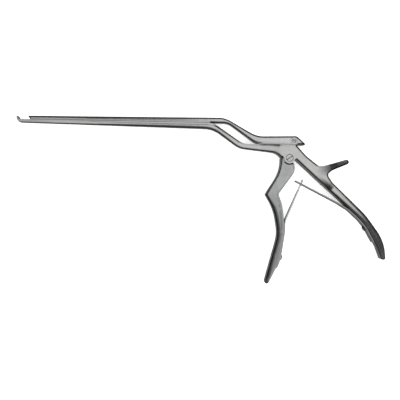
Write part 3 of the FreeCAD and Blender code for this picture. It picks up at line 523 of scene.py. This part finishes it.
def free_edge(material, start, end):
    """Give the seam's side its painted dark edge back between two places along the shafts."""
    tree = material.node_tree
    seam_socket = finish_of(material).inputs["Seam Side"]
    parts = add_node(tree, "ShaderNodeSeparateXYZ", (-1500, -1000))
    tree.links.new(object_place(tree, (-1700, -1000)), parts.inputs[0])
    middle = arithmetic(tree, "SUBTRACT", (-1300, -1000), parts.outputs["X"], (start + end) / 2)
    apart = arithmetic(tree, "ABSOLUTE", (-1150, -1000), middle)
    share = arithmetic(tree, "GREATER_THAN", (-1000, -1000), apart, (end - start) / 2)
    side = add_node(tree, "ShaderNodeVectorMath", (-1000, -1200), operation="SCALE")
    side.inputs[0].default_value = seam_socket.default_value
    for link in seam_socket.links:
        tree.links.new(link.from_socket, side.inputs[0])
    tree.links.new(share, side.inputs["Scale"])
    tree.links.new(side.outputs[0], seam_socket)


# The slide's bands of painted shade beside its edges, in metres, from before the bend onto the block
ALONG_THE_SLIDE = (1.0, 0.0, 0.0)
BEFORE_THE_BEND = -0.08
ON_THE_BLOCK = -0.02
SLIDE_BANDS = (0.0021, 0.0016, 0.0017)
grow_band(slide_steel, ALONG_THE_SLIDE, BEFORE_THE_BEND, ON_THE_BLOCK, SLIDE_BANDS)
BAYONET = (-0.0595, -0.036)
BEAK = (0.0055, 0.02)
free_edge(slide_steel, *BAYONET)
free_edge(slide_steel, *BEAK)
DRIVE_SCREW_AT = (0.0032, 0.0129)
DRIVE_SEAT_RADIUS = 0.0021
ease_seat(slide_steel, DRIVE_SCREW_AT, DRIVE_SEAT_RADIUS)
# Painted shade over the front half of the slide
FRONT_HALF = {"centre": (-0.165, 0.026), "turn": 0.0, "reach": (0.13, 0.03)}
paint_shade(slide_steel, **FRONT_HALF, depth=0.3)
dress("sliding_shaft", slide_steel)

# Front handle: a steel forging whose finger side is rounded over, widely below the knee, where
# its band of painted shade widens too. It is brushed roughly down the grip, and is the darkest
# of the three. Its inner side, where the leaf lies, stays sharp.

# This vector is longer than 1, so that the whole curve of the inner side counts as facing it
INNER_SIDE = (1.15, 0.0, 0.0)
grip_steel = steel(
    "front_handle_steel",
    tone=(0.3, 0.308, 0.305),
    edge_tone=EDGE_SHADE_TONE,
    side_tone=WALL_SHADE_TONE,
    roughness=0.34,
    line_turn=math.radians(80.0),
    seam_side=INNER_SIDE,
)
# The grip's band of painted shade, in metres, widening down past the knee
DOWN_THE_GRIP = (0.0, -1.0, 0.0)
ABOVE_THE_KNEE = 0.02
BELOW_THE_KNEE = 0.036
GRIP_BANDS = (0.0012, 0.0018, 0.003)
grow_band(grip_steel, DOWN_THE_GRIP, ABOVE_THE_KNEE, BELOW_THE_KNEE, GRIP_BANDS)
# Painted shade down the lower grip
LOWER_GRIP = {"centre": (-0.006, -0.074), "turn": 80.0, "reach": (0.065, 0.03)}
paint_shade(grip_steel, **LOWER_GRIP, depth=0.3)
dress("front_handle", grip_steel)

# Screws: turned from bar and slotted. The pivot's and the drive's heads are faced flush with
# the steel round them. The two that hold the springs stand proud of the grips, with painted
# shade on their edges and walls.
TURNED_LINES = 0.1
TURNED_SLANT = 0.6
TURNED_DENSITY = 900.0
# The faced heads' edges are set lighter as a painted highlight, and their walls dark as painted shade.
head_steel = steel(
    "faced_screw_steel",
    tone=(0.36, 0.36, 0.356),
    edge_tone=(0.42, 0.42, 0.415),
    side_tone=EDGE_SHADE_TONE,
    roughness=0.3,
    metal=0.25,
    line_turn=TURNED_SLANT,
    line_depth=TURNED_LINES,
    density=TURNED_DENSITY,
    band=0.0002,
)
for screw in ("pivot_screw", "drive_screw"):
    dress(screw, head_steel)
screw_steel = steel(
    "turned_screw_steel",
    tone=(0.4, 0.4, 0.395),
    edge_tone=(0.04, 0.04, 0.04),
    side_tone=(0.08, 0.08, 0.08),
    roughness=0.28,
    metal=0.9,
    line_turn=TURNED_SLANT,
    line_depth=TURNED_LINES,
    density=TURNED_DENSITY,
    band=0.0004,
)
for screw in ("front_spring_screw", "rear_spring_screw"):
    dress(screw, screw_steel)

# Leaf springs: two strips of rolled spring steel, each screwed to a grip. The front one's
# tip hooks through the slot of the rear one, and both bend as the grips close. The bending
# pieces are cut across at even steps, so that they curve evenly.
CROSS_CUT = 0.0015
MERGE_DISTANCE = 1e-6


def bending_leaf(name, node_name, toward):
    """Copy a leaf's mesh, join its triangles and cut it across at even steps along its run."""
    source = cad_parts[node_name]
    shape = bmesh.new()
    shape.from_mesh(source.data)
    bmesh.ops.remove_doubles(shape, verts=shape.verts, dist=MERGE_DISTANCE)
    along = Vector(toward).normalized()
    stations = [vertex.co.dot(along) for vertex in shape.verts]
    cut = min(stations) + CROSS_CUT
    while cut < max(stations):
        parts = shape.verts[:] + shape.edges[:] + shape.faces[:]
        bmesh.ops.bisect_plane(shape, geom=parts, plane_co=along * cut, plane_no=along)
        cut += CROSS_CUT
    mesh = bpy.data.meshes.new(name)
    shape.to_mesh(mesh)
    shape.free()
    leaf = bpy.data.objects.new(name, mesh)
    bpy.context.scene.collection.objects.link(leaf)
    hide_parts(node_name)
    return leaf


LEAF_BAND = 0.0002
# Painted light: the front leaf is set pale, though it is the same spring steel as the rear one.
front_leaf_steel = steel(
    "front_leaf_steel",
    tone=(0.5, 0.5, 0.49),
    edge_tone=(0.42, 0.42, 0.41),
    side_tone=(0.5, 0.5, 0.49),
    roughness=0.45,
    metal=0.25,
    line_turn=math.radians(70.0),
    band=LEAF_BAND,
)

# Each leaf is cut across along its run, a direction in the shared frame. As the leaf bends, its
# tip goes about half way with the other grip.
FRONT_RUN = (0.15, 1.0, 0.0)
front_leaf = bending_leaf("front_leaf", "front_spring", FRONT_RUN)
front_leaf.data.materials.append(front_leaf_steel)
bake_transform(front_leaf)

# Painted shade: the rear leaf is set dark, though it is the same spring steel as the front one.
rear_leaf_steel = steel(
    "rear_leaf_steel",
    tone=(0.21, 0.21, 0.207),
    edge_tone=(0.13, 0.13, 0.13),
    side_tone=(0.16, 0.16, 0.157),
    roughness=0.4,
    metal=0.6,
    line_turn=math.radians(-37.0),
    band=LEAF_BAND,
)
REAR_RUN = (-1.0, 0.75, 0.0)
rear_leaf = bending_leaf("rear_leaf", "rear_spring", REAR_RUN)
rear_leaf.data.materials.append(rear_leaf_steel)
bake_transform(rear_leaf)

# The table: a wide white sheet that the punch lies on and shades. It glows in the picture
# only, and sends no more light to the punch. The steel mirrors the cloths below, not the sheet.
TABLE_SIZE = 6.0
TABLE_LEVEL = -0.0002
TABLE_GLOW = 0.5
PAPER_TONE = (0.97, 0.97, 0.97)
bpy.ops.mesh.primitive_plane_add(size=TABLE_SIZE, location=(0.0, 0.0, TABLE_LEVEL))
table = bpy.context.object
table.name = "white_table"


def pictured(tree, place):
    """Return 1 for the rays that picture what they meet, and 0 for those that light the punch."""
    rays = add_node(tree, "ShaderNodeLightPath", place)
    share = rays.outputs["Is Camera Ray"]
    for kind in ("Is Glossy Ray", "Is Transmission Ray"):
        share = arithmetic(tree, "MAXIMUM", (place[0] + 200, place[1]), share, rays.outputs[kind])
    return share


paper = bpy.data.materials.new("white_paper")
paper.use_nodes = True
sheet = paper.node_tree.nodes["Principled BSDF"]
sheet.inputs["Base Color"].default_value = (*PAPER_TONE, 1.0)
sheet.inputs["Roughness"].default_value = 0.9
sheet.inputs["Specular IOR Level"].default_value = 0.1
sheet.inputs["Emission Color"].default_value = (1.0, 1.0, 1.0, 1.0)
viewed = pictured(paper.node_tree, (-800, -200))
glow = arithmetic(paper.node_tree, "MULTIPLY", (-400, -200), viewed, TABLE_GLOW)
paper.node_tree.links.new(glow, sheet.inputs["Emission Strength"])
table.data.materials.append(paper)
table.visible_glossy = False

# Light: a white tent over the table, with one soft lamp. A ring of black cloth hangs low round
# the table and a grey cloth lies below it. Only the steel mirrors the cloths, which draws its
# walls and edges dark, over the painted shade in their colour.

# The tent's strength as a light, and as what the picture shows
TENT_STRENGTH = 1.3
TENT_PICTURE = 1.0
world = bpy.data.worlds.new("white_tent")
bpy.context.scene.world = world
world.use_nodes = True
air = world.node_tree
air.nodes.clear()
tent = add_node(air, "ShaderNodeBackground", (-200, 0))
tent.inputs["Color"].default_value = (1.0, 1.0, 1.0, 1.0)
seen = pictured(air, (-800, 0))
level = ramp(air, (-400, 0), seen, 0.0, 1.0, TENT_STRENGTH, TENT_PICTURE, shape="LINEAR")
air.links.new(level, tent.inputs["Strength"])
sky = add_node(air, "ShaderNodeOutputWorld", (0, 0))
air.links.new(tent.outputs[0], sky.inputs["Surface"])


def cloth(name, shade):
    """Turn the object just added into a cloth that is seen only in mirrors."""
    hanging = bpy.context.object
    hanging.name = name
    hanging.visible_camera = False
    hanging.visible_diffuse = False
    hanging.visible_shadow = False
    felt = bpy.data.materials.new(f"{name}_felt")
    felt.use_nodes = True
    tree = felt.node_tree
    tree.nodes.clear()
    glow = add_node(tree, "ShaderNodeEmission", (-200, 0))
    glow.inputs["Color"].default_value = (shade, shade, shade, 1.0)
    end = add_node(tree, "ShaderNodeOutputMaterial", (0, 0))
    tree.links.new(glow.outputs[0], end.inputs["Surface"])
    hanging.data.materials.append(felt)


RING_RADIUS = 1.2
RING_HEIGHT = 0.55
RING_BOTTOM = -0.05
bpy.ops.mesh.primitive_cylinder_add(
    vertices=48,
    radius=RING_RADIUS,
    depth=RING_HEIGHT,
    end_fill_type="NOTHING",
    location=(0.0, 0.0, RING_BOTTOM + RING_HEIGHT / 2.0),
)
RING_SHADE = 0.012
cloth("black_ring", RING_SHADE)
UNDER_SIZE = 4.0
UNDER_LEVEL = -0.004
bpy.ops.mesh.primitive_plane_add(size=UNDER_SIZE, location=(0.0, 0.0, UNDER_LEVEL))
UNDER_SHADE = 0.28
cloth("grey_under", UNDER_SHADE)

LAMP_AT = Vector((0.2, 0.3, 1.2))
LAMP_AIM = Vector((-0.06, -0.03, 0.0))
LAMP_SIZE = 1.2
LAMP_POWER = 1.6
soft_light = bpy.data.lights.new("key_lamp", "AREA")
soft_light.shape = "SQUARE"
soft_light.size = LAMP_SIZE
soft_light.energy = LAMP_POWER
lamp = bpy.data.objects.new("key_lamp", soft_light)
bpy.context.scene.collection.objects.link(lamp)
lamp.location = LAMP_AT
lamp.rotation_euler = (LAMP_AIM - LAMP_AT).to_track_quat("-Z", "Y").to_euler()

# Camera: straight above, as in the photograph, turned a little so that the shafts fall to the
# right. It frames 296 mm at the level of the punch's upper face.
CAMERA_HEIGHT = 0.42
CAMERA_X = -0.0657
CAMERA_Y = -0.0326
CAMERA_TURN = 1.24
FRAME_WIDTH = 0.296
upper_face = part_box("fixed_shaft")[1][2]
view = bpy.data.cameras.new("camera")
view.angle = 2.0 * math.atan(FRAME_WIDTH / 2.0 / CAMERA_HEIGHT)
view.clip_start = 0.01
camera = bpy.data.objects.new("camera", view)
bpy.context.scene.collection.objects.link(camera)
camera.location = (CAMERA_X, CAMERA_Y, upper_face + CAMERA_HEIGHT)
camera.rotation_euler = (0.0, 0.0, math.radians(CAMERA_TURN))
bpy.context.scene.camera = camera
bpy.context.scene.view_settings.view_transform = "Standard"
